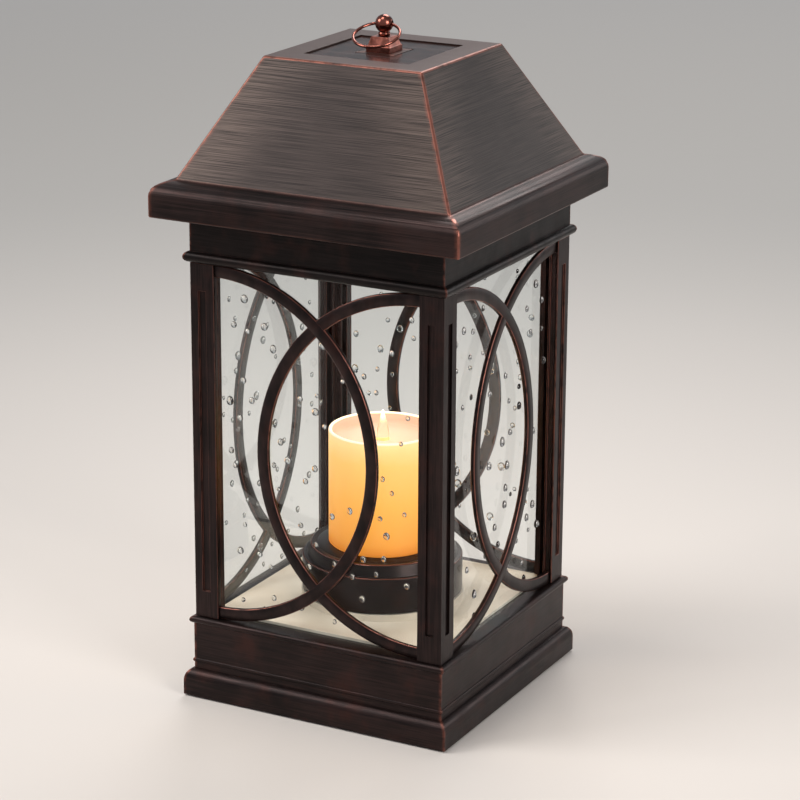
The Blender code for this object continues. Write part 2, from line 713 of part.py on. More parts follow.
def make_glass_strips():
    """Four angles that hold the panes' edges against the posts and stand on the floor plate."""
    corner = BODY_W / 2
    near = STRIP_IN
    far = STRIP_IN + STRIP_T
    end = POST_FACE - STRIP_SHORT
    leg = [(near, near), (end, near), (end, far), (far, far), (far, end), (near, end)]
    section = [(corner - x, -corner + y) for x, y in leg]
    strip = settled(outline("glass_strip", [section], FLOOR_TOP + GAP, FRAME_Z - GAP, bronze("strip_bronze")))
    quarter_turns(lambda turn: f"glass_strip_{turn + 1}", strip)


def make_upper_frame():
    """Frieze and bead around the ceiling of the lantern, one tray-shaped moulding."""
    half = BODY_W / 2
    bead_r = TOP_BEAD_H / 2
    ceiling_top = FRAME_Z + CEILING_T
    profile = [(0.0, ceiling_top), (half - FRIEZE_WALL, ceiling_top), (half - FRIEZE_WALL, FRAME_TOP),
               (half, FRAME_TOP)]
    profile += arc((half, FRAME_Z + bead_r), bead_r, bead_r, 90, -90, 8)
    profile += [(0.0, FRAME_Z)]
    frame = settled(turned("upper_frame", profile, SQUARE_SIDES, bronze("frieze_bronze"), closed=False))
    holes = []
    for x, y in CORNERS:
        holes.append(rod_mesh("rod_hole", ROD_R + GAP, FRAME_Z - 0.001, ceiling_top + 0.001,
                              (x * ROD_AT, y * ROD_AT)))
    holes.append(rod_mesh("lead_hole", LEAD_R + 2 * GAP, FRAME_Z - 0.001, ceiling_top + 0.001,
                          (-LEAD_AT, LEAD_AT)))
    return cut(frame, *holes)


def make_tie_rods():
    """Four long screws that clamp base, posts, frieze and roof together."""
    head_h = 0.0022
    for number, (x, y) in enumerate(CORNERS, 1):
        screw(f"tie_rod_{number}", 0.0025, head_h, ROD_R, DECK_Z - DECK_T - GAP - head_h,
              EAVE_Z + 0.0075, (x * ROD_AT, y * ROD_AT))


# ---------------------------------------------------------------- roof
def make_roof_shell():
    """Hollow roof: eave, four slopes and a flat top with the panel's recess and a square seat for the finial."""
    eave = EAVE_W / 2
    foot = ROOF_FOOT_W / 2
    top = ROOF_TOP_W / 2
    recess = RECESS_W / 2
    seat_in = FINIAL_FOOT_W / 2 + GAP
    seat_out = PANEL_HOLE_W / 2 - PANEL_FIT
    run_per_rise = (foot - top) / ROOF_RISE
    slope_wall = ROOF_WALL * math.hypot(1.0, run_per_rise)
    flange_in = BODY_W / 2 - 0.011
    flange_top = EAVE_Z + ROOF_WALL
    inner_eave = eave - ROOF_WALL

    def inner_slope(z):
        return foot - (z - ROOF_FOOT_Z) * run_per_rise - slope_wall

    knee_z = ROOF_FOOT_Z - ROOF_WALL
    profile = [(recess, ROOF_TOP_Z), (top, ROOF_TOP_Z)]
    profile += arc((foot, FASCIA_TOP), eave - foot, EAVE_ROUND_H, 90, 0, 8)
    profile += [(eave, EAVE_Z), (flange_in, EAVE_Z), (flange_in, flange_top), (inner_eave, flange_top),
                (inner_eave, FASCIA_TOP - 0.001), (inner_slope(knee_z), knee_z),
                (inner_slope(ROOF_INNER_TOP), ROOF_INNER_TOP), (SHANK_BORE / 2, ROOF_INNER_TOP),
                (SHANK_BORE / 2, RECESS_Z), (seat_in, RECESS_Z), (seat_in, PANEL_Z + PANEL_T),
                (seat_out, PANEL_Z + PANEL_T), (seat_out, RECESS_Z), (recess, RECESS_Z)]
    shell = settled(turned("roof_shell", profile, SQUARE_SIDES, material("roof_bronze", (0.09, 0.07, 0.065),
                                                                         0.4, 0.8)))
    bosses = []
    pilots = []
    for x, y in CORNERS:
        at = (x * ROD_AT, y * ROD_AT)
        bosses.append(rod_mesh("rod_boss", 0.004, EAVE_Z + ROOF_WALL / 2, EAVE_Z + 0.011, at))
        pilots.append(rod_mesh("rod_pilot", ROD_R + GAP, EAVE_Z - 0.001, EAVE_Z + 0.009, at))
    join(shell, *bosses)
    cut(shell, *pilots, rod_mesh("lead_hole", LEAD_R + 2 * GAP, ROOF_INNER_TOP - 0.001, RECESS_Z + 0.001,
                                 (-PANEL_LEAD_X, 0.0)))
    return shell


PANEL_LEAD_X = 0.022
FRAME_WAY = 0.016            # how far inside the frieze's face the panel lead passes the eave


def make_solar_panel():
    """Square cell under clear resin, with a square hole for the finial."""
    outer = RECESS_W / 2 - PANEL_FIT
    inner = PANEL_HOLE_W / 2
    top = PANEL_Z + PANEL_T
    profile = [(inner, top), (outer, top), (outer, PANEL_Z), (inner, PANEL_Z)]
    return turned("solar_panel", profile, SQUARE_SIDES, material("panel_cell", (0.05, 0.045, 0.06), 0.12))


def make_finial():
    """Square block, turned stud with its ball and cross bore, washer and nut inside the roof."""
    bore = SHANK_BORE / 2
    profile = [(bore, FINIAL_TOP), (FINIAL_BLOCK_TOP_W / 2, FINIAL_TOP), (FINIAL_BLOCK_W / 2, FINIAL_BLOCK_Z),
               (FINIAL_FOOT_W / 2, FINIAL_BLOCK_Z), (FINIAL_FOOT_W / 2, FINIAL_Z), (bore, FINIAL_Z)]
    turned("finial_block", profile, SQUARE_SIDES, copper("block_copper"))

    collar_z = FINIAL_TOP + GAP
    nut_z = ROOF_INNER_TOP - GAP - WASHER_T - GAP - NUT_H
    neck_r = 0.0022
    meet = math.degrees(math.asin(-math.sqrt(BALL_R ** 2 - neck_r ** 2) / BALL_R))
    stud = arc((0.0, BALL_Z), BALL_R, BALL_R, 90, meet, 12)
    stud[0] = (0.0, BALL_Z + BALL_R)
    stud += [(neck_r, collar_z + COLLAR_H), (COLLAR_R, collar_z + COLLAR_H), (COLLAR_R, collar_z),
             (SHANK_R, collar_z), (SHANK_R, nut_z - 0.003), (0.0, nut_z - 0.003)]
    stud = settled(turned("finial_stud", stud, 24, copper("stud_copper"), closed=False))
    bore_mesh = rod_mesh("ring_bore", RING_BORE_R, -2 * BALL_R, 2 * BALL_R, steps=20)
    bore_mesh.transform(Matrix.Translation((0.0, 0.0, BALL_Z)) @ Matrix.Rotation(RING_TURN, 4, "Z")
                        @ Matrix.Rotation(math.pi / 2, 4, "Y"))
    smooth(settled(cut(stud, bore_mesh)))

    washer_z = ROOF_INNER_TOP - GAP - WASHER_T
    washer = [(bore, washer_z + WASHER_T), (WASHER_R, washer_z + WASHER_T), (WASHER_R, washer_z), (bore, washer_z)]
    turned("finial_washer", washer, 20, steel("washer_steel"))
    corner_r = NUT_W / math.sqrt(3.0)
    nut_bore = SHANK_R + GAP
    hexagon = arc((0.0, 0.0), corner_r, corner_r, 0, 300, 5)
    hole = arc((0.0, 0.0), nut_bore, nut_bore, 0, 340, 17)
    outline("finial_nut", [hexagon, hole], nut_z, nut_z + NUT_H, steel("nut_steel"))


def make_hanging_ring():
    """Wire ring through the ball. Its origin is on the hinge line, at the ball's centre."""
    bpy.ops.mesh.primitive_torus_add(major_radius=RING_R, minor_radius=RING_WIRE_R, major_segments=48,
                                     minor_segments=8)
    ring = bpy.context.object
    for owner in list(ring.users_collection):
        owner.objects.unlink(ring)
    parts.objects.link(ring)
    ring.name = "hanging_ring"
    ring.data.name = "hanging_ring"
    ring.data.materials.append(copper("ring_copper"))
    ring.data.transform(Matrix.Translation((0.0, -(RING_R - RING_SAG), 0.0)))
    ring.location = (0.0, 0.0, BALL_Z)
    ring.rotation_euler = (RING_LEAN, 0.0, RING_TURN)
    smooth(ring)


# ---------------------------------------------------------------- candle
def make_candle_holder():
    """Stepped round base, hollow below, with the spigot that centres the candle."""
    top = HOLDER_TOP
    step = HOLDER_Z + HOLDER_STEP_H
    spigot = CANDLE_R - CANDLE_WALL - 2 * GAP
    under = top - HOLDER_WALL
    profile = [(spigot, top + SPIGOT_H), (spigot, top)]
    profile += arc((HOLDER_SHOULDER_R - 0.0018, top - 0.0018), 0.0018, 0.0018, 90, 0, 4)
    profile += [(HOLDER_SHOULDER_R + 0.0003, step), (HOLDER_R - 0.0006, step), (HOLDER_R, step - 0.0006),
                (HOLDER_R, HOLDER_Z), (HOLDER_R - HOLDER_WALL, HOLDER_Z),
                (HOLDER_R - HOLDER_WALL, step - HOLDER_WALL), (HOLDER_SHOULDER_R - HOLDER_WALL, step - HOLDER_WALL),
                (HOLDER_SHOULDER_R - HOLDER_WALL, under), (0.004, under), (0.004, top),
                (spigot - HOLDER_WALL, top), (spigot - HOLDER_WALL, top + SPIGOT_H)]
    holder = settled(turned("candle_holder", profile, ROUND_STEPS, bronze("holder_bronze")))
    bosses = []
    pilots = []
    for side in (-1, 1):
        at = (side * HOLDER_BOSS_AT, 0.0)
        bosses.append(rod_mesh("boss", 0.0035, HOLDER_Z, top - HOLDER_WALL / 2, at))
        pilots.append(rod_mesh("pilot", 0.0014, HOLDER_Z - 0.001, HOLDER_Z + 0.012, at))
    join(holder, *bosses)
    cut(holder, *pilots)
    for number, side in enumerate((-1, 1), 1):
        head_h = 0.0016
        screw(f"holder_screw_{number}", 0.003, head_h, 0.0011, FLOOR_Z - GAP - head_h, HOLDER_Z + 0.010,
              (side * HOLDER_BOSS_AT, 0.0))


def make_candle():
    """Candle sleeve with a dished top, and inside it the stem, board, LED and flame lens."""
    inner = CANDLE_R - CANDLE_WALL
    lens_hole = LENS_R + GAP
    profile = [(inner + 0.0004, CANDLE_TOP - 0.0004)]
    profile += arc((CANDLE_R - 0.001, CANDLE_TOP - 0.001), 0.001, 0.001, 90, 0, 4)
    profile += [(CANDLE_R, CANDLE_Z), (inner, CANDLE_Z), (inner, DISH_Z - CANDLE_WALL),
                (lens_hole, DISH_Z - CANDLE_WALL), (lens_hole, DISH_Z), (inner, DISH_Z)]
    turned("candle_sleeve", profile, ROUND_STEPS, material("candle_wax", (0.95, 0.60, 0.25), 0.5))

    flange_top = DISH_Z - CANDLE_WALL - GAP
    flange_z = flange_top - 0.0016
    tip = DISH_Z + LENS_UP
    lens = [(0.0, tip), (0.0006, tip - 0.0010), (0.0014, tip - 0.004), (0.0025, tip - 0.0085),
            (0.0033, tip - 0.012), (LENS_R, tip - 0.0148), (LENS_R, flange_top), (LENS_FLANGE_R, flange_top),
            (LENS_FLANGE_R, flange_z), (0.0, flange_z)]
    turned("flame_lens", lens, 18, material("lens_clear", (0.95, 0.9, 0.8), 0.1), closed=False)

    led_top = flange_z - GAP
    led_z = led_top - 0.0035
    led = [(0.0, led_top)] + arc((0.0, led_top - LAMP_LED_R), LAMP_LED_R, LAMP_LED_R, 60, 0, 3)
    led += [(LAMP_LED_R, led_z + 0.0008), (0.003, led_z + 0.0008), (0.003, led_z), (0.0, led_z)]
    turned("lamp_led", led, 16, material("led_epoxy", (0.95, 0.85, 0.5), 0.2), closed=False)
    board_top = led_z - GAP
    board_z = board_top - BOARD_T
    add_object("lamp_board", rod_mesh("lamp_board", LAMP_BOARD_R, board_z, board_top, steps=24),
               plastic("lamp_board_white", (0.7, 0.7, 0.66)))
    stem_top = board_z - GAP
    stem = [(STEM_R - STEM_WALL, stem_top), (STEM_R, stem_top), (STEM_R, CANDLE_Z), (STEM_R - STEM_WALL, CANDLE_Z)]
    turned("lamp_stem", stem, 18, plastic("stem_white", (0.6, 0.6, 0.58)))
    return stem_top


def make_leads(stem_top):
    """The panel's lead, down the left back post to the board, and the lamp's lead up the stem."""
    board_top = BOARD_Z + BOARD_T + GAP
    corner = (-LEAD_AT, LEAD_AT)
    inside = BODY_W / 2 - FRAME_WAY
    route = [(-PANEL_LEAD_X, 0.0, PANEL_Z - GAP), (-PANEL_LEAD_X, 0.0, PANEL_Z - 0.004),
             (-PANEL_LEAD_X, 0.0, PANEL_Z - 0.010),
             (-0.034, 0.020, ROOF_FOOT_Z + 0.025), (-0.050, 0.046, ROOF_FOOT_Z),
             (-inside, inside, EAVE_Z), (-inside, inside, FRAME_Z + 0.014)]
    route += [(*corner, z) for z in (FRAME_Z + CEILING_T + 0.001, FRAME_Z - 0.004)]
    route += [(*corner, (FRAME_Z + DECK_Z) / 2)]
    route += [(*corner, z) for z in (DECK_Z + 0.01, DECK_Z - 0.006, DECK_Z - 0.012)]
    route += [(-LEAD_AT, LEAD_AT - 0.014, 0.022), (-0.045, 0.040, 0.020), (-0.022, BOARD_Y, 0.022),
              (-0.010, BOARD_Y, board_top + 0.004), (-0.010, BOARD_Y, board_top)]
    tube("panel_lead", smooth_route(route, 4), LEAD_R, plastic("lead_red", (0.35, 0.02, 0.02)))

    lamp_route = [(0.010, BOARD_Y, board_top), (0.010, BOARD_Y, board_top + 0.004), (0.008, 0.018, 0.028),
                  (0.0, 0.0, 0.040), (0.0, 0.0, DECK_Z), (0.0, 0.0, HOLDER_TOP), (0.0, 0.0, stem_top)]
    tube("lamp_lead", smooth_route(lamp_route, 4), LEAD_R, plastic("lead_black", (0.02, 0.02, 0.02)))


make_base_shell()
make_bottom_cover()
make_feet_and_screws()
make_battery_group()
make_switch_group()
make_floor_plate()
make_posts()
make_tracery()
make_glass()
make_glass_strips()
make_upper_frame()
make_tie_rods()
make_roof_shell()
make_solar_panel()
make_finial()
make_hanging_ring()
make_candle_holder()
make_leads(make_candle())
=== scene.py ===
"""Looks of the solar garden lantern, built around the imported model. Metres, +Z up."""
import math
import random

import bmesh
import bpy
from mathutils import Matrix, Vector


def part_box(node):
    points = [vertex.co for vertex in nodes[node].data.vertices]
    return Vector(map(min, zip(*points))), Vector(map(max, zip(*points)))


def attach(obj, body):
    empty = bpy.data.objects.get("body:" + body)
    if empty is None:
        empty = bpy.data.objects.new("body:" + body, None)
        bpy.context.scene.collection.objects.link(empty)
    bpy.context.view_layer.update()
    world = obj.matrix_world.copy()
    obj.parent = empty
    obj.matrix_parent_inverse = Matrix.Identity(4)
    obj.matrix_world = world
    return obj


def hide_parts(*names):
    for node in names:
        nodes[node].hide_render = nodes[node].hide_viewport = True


SIDES = ("front", "right", "back", "left")
CORNER_NUMBERS = (1, 2, 3, 4)

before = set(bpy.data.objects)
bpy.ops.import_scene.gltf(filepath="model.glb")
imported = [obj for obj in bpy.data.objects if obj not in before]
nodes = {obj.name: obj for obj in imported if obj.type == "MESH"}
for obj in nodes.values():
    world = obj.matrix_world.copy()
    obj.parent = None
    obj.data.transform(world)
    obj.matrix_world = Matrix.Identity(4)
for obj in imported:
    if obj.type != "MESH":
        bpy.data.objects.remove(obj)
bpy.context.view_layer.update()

# ---------------------------------------------------------------- camera
CAM_AZIMUTH = math.radians(27.86)
CAM_ELEVATION = math.radians(17.46)
CAM_ROLL = math.radians(0.30)
CAM_DISTANCE = 1.5906
CAM_AIM = Vector((0.0, 0.0, 0.18075))
CAM_RIGHT = 0.0094
CAM_UP = -0.0157
CAM_LENS = 128.6


def make_camera():
    """A long lens that looks slightly down on the front right corner."""
    back = Vector((math.sin(CAM_AZIMUTH) * math.cos(CAM_ELEVATION),
                   -math.cos(CAM_AZIMUTH) * math.cos(CAM_ELEVATION), math.sin(CAM_ELEVATION)))
    level = Vector((math.cos(CAM_AZIMUTH), math.sin(CAM_AZIMUTH), 0.0))
    above = back.cross(level)
    right = level * math.cos(CAM_ROLL) + above * math.sin(CAM_ROLL)
    up = above * math.cos(CAM_ROLL) - level * math.sin(CAM_ROLL)
    data = bpy.data.cameras.new("camera")
    data.lens = CAM_LENS
    data.sensor_width = 36.0
    data.clip_start = 0.05
    camera = bpy.data.objects.new("camera", data)
    bpy.context.scene.collection.objects.link(camera)
    place = Matrix((right, up, back)).transposed().to_4x4()
    place.translation = CAM_AIM + back * CAM_DISTANCE + right * CAM_RIGHT + up * CAM_UP
    camera.matrix_world = place
    bpy.context.scene.camera = camera


# ---------------------------------------------------------------- materials
class Graph:
    """A material's nodes, with short calls for the ones used here."""

    def __init__(self, name):
        self.material = bpy.data.materials.new(name)
        self.material.use_nodes = True
        self.tree = self.material.node_tree
        self.shader = self.tree.nodes["Principled BSDF"]
        self.coords = self.tree.nodes.new("ShaderNodeTexCoord").outputs["Object"]

    def put(self, socket, value):
        """Set a socket to a number or a colour, or link another socket to it."""
        if isinstance(value, bpy.types.NodeSocket):
            self.tree.links.new(value, socket)
        else:
            socket.default_value = value

    def set(self, **values):
        """Set the shader's sockets, with _ for the spaces in their names."""
        for name, value in values.items():
            self.put(self.shader.inputs[name.replace("_", " ")], value)

    def math(self, operation, first, second=0.0):
        """One math step."""
        node = self.tree.nodes.new("ShaderNodeMath")
        node.operation = operation
        self.put(node.inputs[0], first)
        self.put(node.inputs[1], second)
        return node.outputs[0]

    def noise(self, scale, detail=3.0, stretch=(1.0, 1.0, 1.0)):
        """Noise of about this many lumps a metre, stretched per axis."""
        mapping = self.tree.nodes.new("ShaderNodeMapping")
        mapping.inputs["Scale"].default_value = [scale * axis for axis in stretch]
        self.put(mapping.inputs["Vector"], self.coords)
        noise = self.tree.nodes.new("ShaderNodeTexNoise")
        noise.inputs["Scale"].default_value = 1.0
        noise.inputs["Detail"].default_value = detail
        self.put(noise.inputs["Vector"], mapping.outputs[0])
        return noise.outputs["Fac"]

    def between(self, value, low, high):
        """0 below low, 1 above high, smooth between."""
        node = self.tree.nodes.new("ShaderNodeMapRange")
        node.interpolation_type = "SMOOTHSTEP"
        self.put(node.inputs["Value"], value)
        node.inputs["From Min"].default_value = low
        node.inputs["From Max"].default_value = high
        return node.outputs["Result"]

    def mix(self, share, first, second):
        """Colours mixed by a share."""
        node = self.tree.nodes.new("ShaderNodeMix")
        node.data_type = "RGBA"
        self.put(node.inputs["Factor"], share)
        self.put(node.inputs["A"], first if isinstance(first, bpy.types.NodeSocket) else (*first, 1.0))
        self.put(node.inputs["B"], second if isinstance(second, bpy.types.NodeSocket) else (*second, 1.0))
        return node.outputs["Result"]

    def ramp(self, value, stops):
        """Colours along a value."""
        node = self.tree.nodes.new("ShaderNodeValToRGB")
        node.color_ramp.elements[0].position = stops[0][0]
        node.color_ramp.elements[0].color = (*stops[0][1], 1.0)
        node.color_ramp.elements[1].position = stops[-1][0]
        node.color_ramp.elements[1].color = (*stops[-1][1], 1.0)
        for position, colour in stops[1:-1]:
            node.color_ramp.elements.new(position).color = (*colour, 1.0)
        self.put(node.inputs["Fac"], value)
        return node.outputs["Color"]

    def attribute(self, name):
        """A number stored on the mesh."""
        node = self.tree.nodes.new("ShaderNodeAttribute")
        node.attribute_name = name
        return node.outputs["Fac"]

    def axes(self):
        """The object's own X, Y and Z."""
        node = self.tree.nodes.new("ShaderNodeSeparateXYZ")
        self.put(node.inputs[0], self.coords)
        return node.outputs

    def bump(self, height, distance, strength=1.0):
        """Relief from a height of 0 to 1."""
        node = self.tree.nodes.new("ShaderNodeBump")
        node.inputs["Distance"].default_value = distance
        node.inputs["Strength"].default_value = strength
        self.put(node.inputs["Height"], height)
        self.put(self.shader.inputs["Normal"], node.outputs[0])


BRONZE_DARK = (0.0105, 0.0070, 0.0068)
BRONZE_LIGHT = (0.032, 0.0180, 0.0168)
# Frieze bronze: the base bronze at half its brightness, painted shade for the shadow the eave casts on the
# frieze.
FRIEZE_SHADED_DARK = (0.0055, 0.0038, 0.0036)
FRIEZE_SHADED_LIGHT = (0.016, 0.0105, 0.0098)
ROOF_DARK = (0.0088, 0.0058, 0.0056)
ROOF_LIGHT = (0.044, 0.0250, 0.0230)
SLOPE_DARK = (0.0140, 0.0106, 0.0100)
SLOPE_LIGHT = (0.043, 0.0320, 0.0290)
SLOPE_PALE = (0.105, 0.078, 0.066)
FLAT_TOP = (0.046, 0.0225, 0.0180)
HOLDER_DARK = (0.012, 0.008, 0.008)
HOLDER_LIGHT = (0.032, 0.020, 0.018)
BRONZE_RED = (0.050, 0.018, 0.014)
COPPER = (0.31, 0.115, 0.083)
MITRE_RED = (0.185, 0.062, 0.043)
LEVEL_BRUSH = (45.0, 45.0, 1500.0)
UPRIGHT_BRUSH = (1500.0, 1500.0, 45.0)
ROOF_BRUSH = (28.0, 28.0, 3400.0)
HOLDER_BRUSH = (25.0, 25.0, 900.0)
BAR_BRUSH = (160.0, 160.0, 90.0)


def bronze(name, dark, light, brush, roughness, worn=0.8, mitre=0.0, red=0.5, slopes=None, patchy=(0.22, 0.58),
           uneven=0.25):
    """Dark brushed bronze with red patches, rubbed back to copper along its edges.

    mitre is how far, in metres, the copper spreads beside the corners of a square moulding. Between the
    two heights of slopes the metal is a paler grey brown, palest near the hips. patchy is the range of
    the noise that breaks up the copper.
    """
    g = Graph(name)
    streak = g.noise(1.0, 4.0, brush)
    cloud = g.noise(28.0, 3.0)
    tone = g.math("ADD", g.math("MULTIPLY", streak, 0.7), g.math("MULTIPLY", cloud, 0.5))
    base = g.mix(g.between(tone, 0.42, 0.80), dark, light)
    patch = g.math("MULTIPLY", g.between(g.noise(70.0, 5.0), 0.50, 0.78), red)
    base = g.mix(patch, base, BRONZE_RED)
    rubbed = g.math("MULTIPLY", g.attribute("wear"), g.between(g.noise(160.0, 3.0), *patchy))
    rubbed = g.math("MULTIPLY", rubbed, worn)
    x, y, z = g.axes()
    off = g.math("ABSOLUTE", g.math("SUBTRACT", g.math("ABSOLUTE", x), g.math("ABSOLUTE", y)))
    if mitre:
        line = g.math("SUBTRACT", 1.0, g.between(off, 0.1 * mitre, mitre))
        line = g.math("MULTIPLY", line, g.between(g.noise(220.0, 4.0), 0.30, 0.66))
        if slopes:
            below = g.math("SUBTRACT", 1.0, g.between(z, slopes[1] - 0.0009, slopes[1] - 0.0002))
            line = g.math("MULTIPLY", line, below)
        band = g.math("MULTIPLY", line, 0.75)
    if slopes:
        grey = g.mix(g.between(streak, 0.26, 0.74), SLOPE_DARK, SLOPE_LIGHT)
        pale = g.math("SUBTRACT", 1.0, g.between(off, 0.0, 0.050))
        pale = g.math("MULTIPLY", pale, g.between(streak, 0.30, 0.80))
        grey = g.mix(pale, grey, SLOPE_PALE)
        base = g.mix(g.between(z, slopes[0], slopes[0] + 0.0012), base, grey)
        base = g.mix(g.between(z, slopes[1] - 0.0014, slopes[1] - 0.0009), base, FLAT_TOP)
    if mitre:
        base = g.mix(band, base, MITRE_RED)
    g.set(Base_Color=g.mix(rubbed, base, COPPER), Metallic=0.78)
    uneven = g.math("MULTIPLY", g.math("SUBTRACT", g.noise(90.0, 4.0), 0.5), uneven)
    rough = g.math("ADD", uneven, roughness)
    g.set(Roughness=g.math("SUBTRACT", rough, g.math("MULTIPLY", rubbed, 0.12)))
    g.bump(streak, 0.00006, 0.6)
    return g.material


def copper(name, tint, roughness):
    """Polished copper plating, darker in random patches."""
    g = Graph(name)
    cloud = g.between(g.noise(260.0, 4.0), 0.35, 0.70)
    base = g.mix(cloud, [0.45 * c for c in tint], tint)
    g.set(Base_Color=base, Metallic=1.0)
    g.set(Roughness=g.math("ADD", g.math("MULTIPLY", g.noise(500.0), 0.14), roughness))
    g.bump(g.noise(700.0, 3.0), 0.00005, 0.5)
    return g.material


def plastic(name, low, high, roughness, grain=2500.0):
    """Moulded plastic or rubber with a fine grain."""
    g = Graph(name)
    base = g.mix(g.between(g.noise(60.0, 4.0), 0.35, 0.65), low, high)
    g.set(Base_Color=base)
    g.set(Roughness=g.math("ADD", g.math("MULTIPLY", g.noise(120.0), 0.16), roughness))
    g.bump(g.noise(grain, 2.0), 0.00005, 0.5)
    return g.material


def steel(name):
    """Zinc-plated steel with fine scratches."""
    g = Graph(name)
    base = g.mix(g.noise(300.0, 4.0), (0.30, 0.30, 0.29), (0.62, 0.61, 0.58))
    g.set(Base_Color=base, Metallic=1.0)
    g.set(Roughness=g.math("ADD", g.math("MULTIPLY", g.noise(900.0), 0.25), 0.22))
    g.bump(g.noise(1500.0, 2.0), 0.00003, 0.5)
    return g.material


def pane_look(name):
    """Flat clear glass: a faint mirror over what is behind it, with a few smears."""
    g = Graph(name)
    tree = g.tree
    clear = tree.nodes.new("ShaderNodeBsdfTransparent")
    tint = g.mix(g.noise(9.0, 2.0), (0.955, 0.970, 0.968), (0.985, 0.990, 0.988))
    g.put(clear.inputs["Color"], tint)
    mirror = tree.nodes.new("ShaderNodeBsdfGlossy")
    mirror.inputs["Color"].default_value = (1.0, 1.0, 1.0, 1.0)
    mirror.inputs["Roughness"].default_value = 0.0
    fresnel = tree.nodes.new("ShaderNodeFresnel")
    fresnel.inputs["IOR"].default_value = 1.45
    blend = tree.nodes.new("ShaderNodeMixShader")
    g.put(blend.inputs["Fac"], g.math("MULTIPLY", fresnel.outputs[0], 0.14))
    tree.links.new(clear.outputs[0], blend.inputs[1])
    tree.links.new(mirror.outputs[0], blend.inputs[2])
    tree.links.new(blend.outputs[0], tree.nodes["Material Output"].inputs["Surface"])
    tree.nodes.remove(g.shader)
    return g.material


# Painted shade on each drop's rim and crescent, in place of the dark surroundings a drop refracts.
DROP_SHADE = (0.05, 0.045, 0.045)


def dew_look(name):
    """Clear lens-shaped drops of resin."""
    g = Graph(name)
    clear = g.mix(g.noise(50.0), (0.94, 0.97, 0.96), (1.0, 1.0, 1.0))
    # The edge attribute paints the drop's rim and crescent dark: painted shade, not refraction.
    g.set(Base_Color=g.mix(g.attribute("edge"), clear, DROP_SHADE), Roughness=0.02)
    g.set(Transmission_Weight=1.0, IOR=1.52)
    return g.material


def panel_look(name):
    """Dark solar cell under clear resin, with fine collector lines."""
    g = Graph(name)
    x, y, _ = g.axes()
    fine = g.math("FRACT", g.math("MULTIPLY", g.math("ADD", x, 1.0), 1.0 / PANEL_LINE_PITCH))
    line = g.math("LESS_THAN", fine, 0.09)
    broad = g.math("ABSOLUTE", g.math("SUBTRACT", g.math("ABSOLUTE", y), PANEL_BAR_AT))
    bar = g.math("LESS_THAN", broad, 0.0005)
    cell = g.mix(g.between(g.noise(140.0, 4.0), 0.4, 0.6), (0.012, 0.006, 0.006), (0.030, 0.013, 0.011))
    cell = g.mix(g.math("MULTIPLY", line, 0.35), cell, (0.09, 0.085, 0.09))
    cell = g.mix(g.math("MULTIPLY", bar, 0.35), cell, (0.16, 0.15, 0.15))
    g.set(Base_Color=cell, IOR=1.22)
    g.set(Roughness=g.math("ADD", g.math("MULTIPLY", g.noise(60.0), 0.14), 0.12))
    return g.material


def wax_look(name, bottom, top):
    """Amber wax that glows from inside, deeper towards its foot, with a pale dish."""
    g = Graph(name)
    _, _, z = g.axes()
    up = g.math("DIVIDE", g.math("SUBTRACT", z, bottom), top - bottom)
    up = g.math("ADD", up, g.math("MULTIPLY", g.math("SUBTRACT", g.noise(45.0, 3.0), 0.5), 0.10))
    glow = g.ramp(up, ((0.0, (0.74, 0.22, 0.020)), (0.10, (0.86, 0.33, 0.045)), (0.45, (0.95, 0.45, 0.085)),
                       (0.80, (0.98, 0.56, 0.16)), (1.0, (1.0, 0.70, 0.32))))
    dish = g.attribute("dish")
    rim = g.attribute("rim")
    shade = g.mix(dish, glow, (0.50, 0.37, 0.32))
    shade = g.mix(rim, shade, (0.96, 0.84, 0.64))
    g.set(Base_Color=shade, Subsurface_Weight=0.15, Subsurface_Radius=(0.006, 0.003, 0.0015))
    shine = g.mix(dish, g.mix(rim, glow, (1.0, 0.80, 0.52)), (1.0, 0.82, 0.72))
    g.set(Subsurface_Scale=1.0, Emission_Color=shine)
    lit = g.math("SUBTRACT", 0.61, g.math("MULTIPLY", dish, 0.62))
    g.set(Emission_Strength=g.math("SUBTRACT", lit, g.math("MULTIPLY", rim, 0.12)))
    g.set(Roughness=g.math("ADD", g.math("MULTIPLY", g.noise(80.0), 0.2), 0.38))
    g.bump(g.noise(120.0, 3.0), 0.0002, 0.4)
    return g.material


def flame_look(name, bottom, top):
    """Clear flame-shaped lens that is bright towards its tip."""
    g = Graph(name)
    _, _, z = g.axes()
    up = g.math("DIVIDE", g.math("SUBTRACT", z, bottom), top - bottom)
    bright = g.ramp(up, ((0.0, (0.20, 0.12, 0.05)), (0.5, (0.85, 0.55, 0.22)), (1.0, (1.0, 0.90, 0.62))))
    g.set(Base_Color=g.mix(g.noise(300.0), (0.93, 0.88, 0.78), (1.0, 0.98, 0.92)), Roughness=0.06)
    g.set(Transmission_Weight=0.85, IOR=1.45, Emission_Color=bright)
    g.set(Emission_Strength=g.math("MULTIPLY", g.between(up, 0.35, 0.95), 1.6))
    return g.material


# ---------------------------------------------------------------- meshes
def add_piece(name, shape, look, body, smooth_angle=35.0):
    """Turn a bmesh into a piece that rides on a body."""
    mesh = bpy.data.meshes.new(name)
    shape.to_mesh(mesh)
    shape.free()
    mesh.materials.append(look)
    mesh.shade_smooth()
    mesh.set_sharp_from_angle(angle=math.radians(smooth_angle))
    piece = bpy.data.objects.new(name, mesh)
    bpy.context.scene.collection.objects.link(piece)
    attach(piece, body)
    return piece


def node_shape(node):
    """A CAD node's mesh, with its flat faces whole again."""
    shape = bmesh.new()
    shape.from_mesh(nodes[node].data)
    bmesh.ops.remove_doubles(shape, verts=shape.verts, dist=0.000002)
    bmesh.ops.dissolve_limit(shape, angle_limit=math.radians(0.6), verts=shape.verts, edges=shape.edges)
    return shape


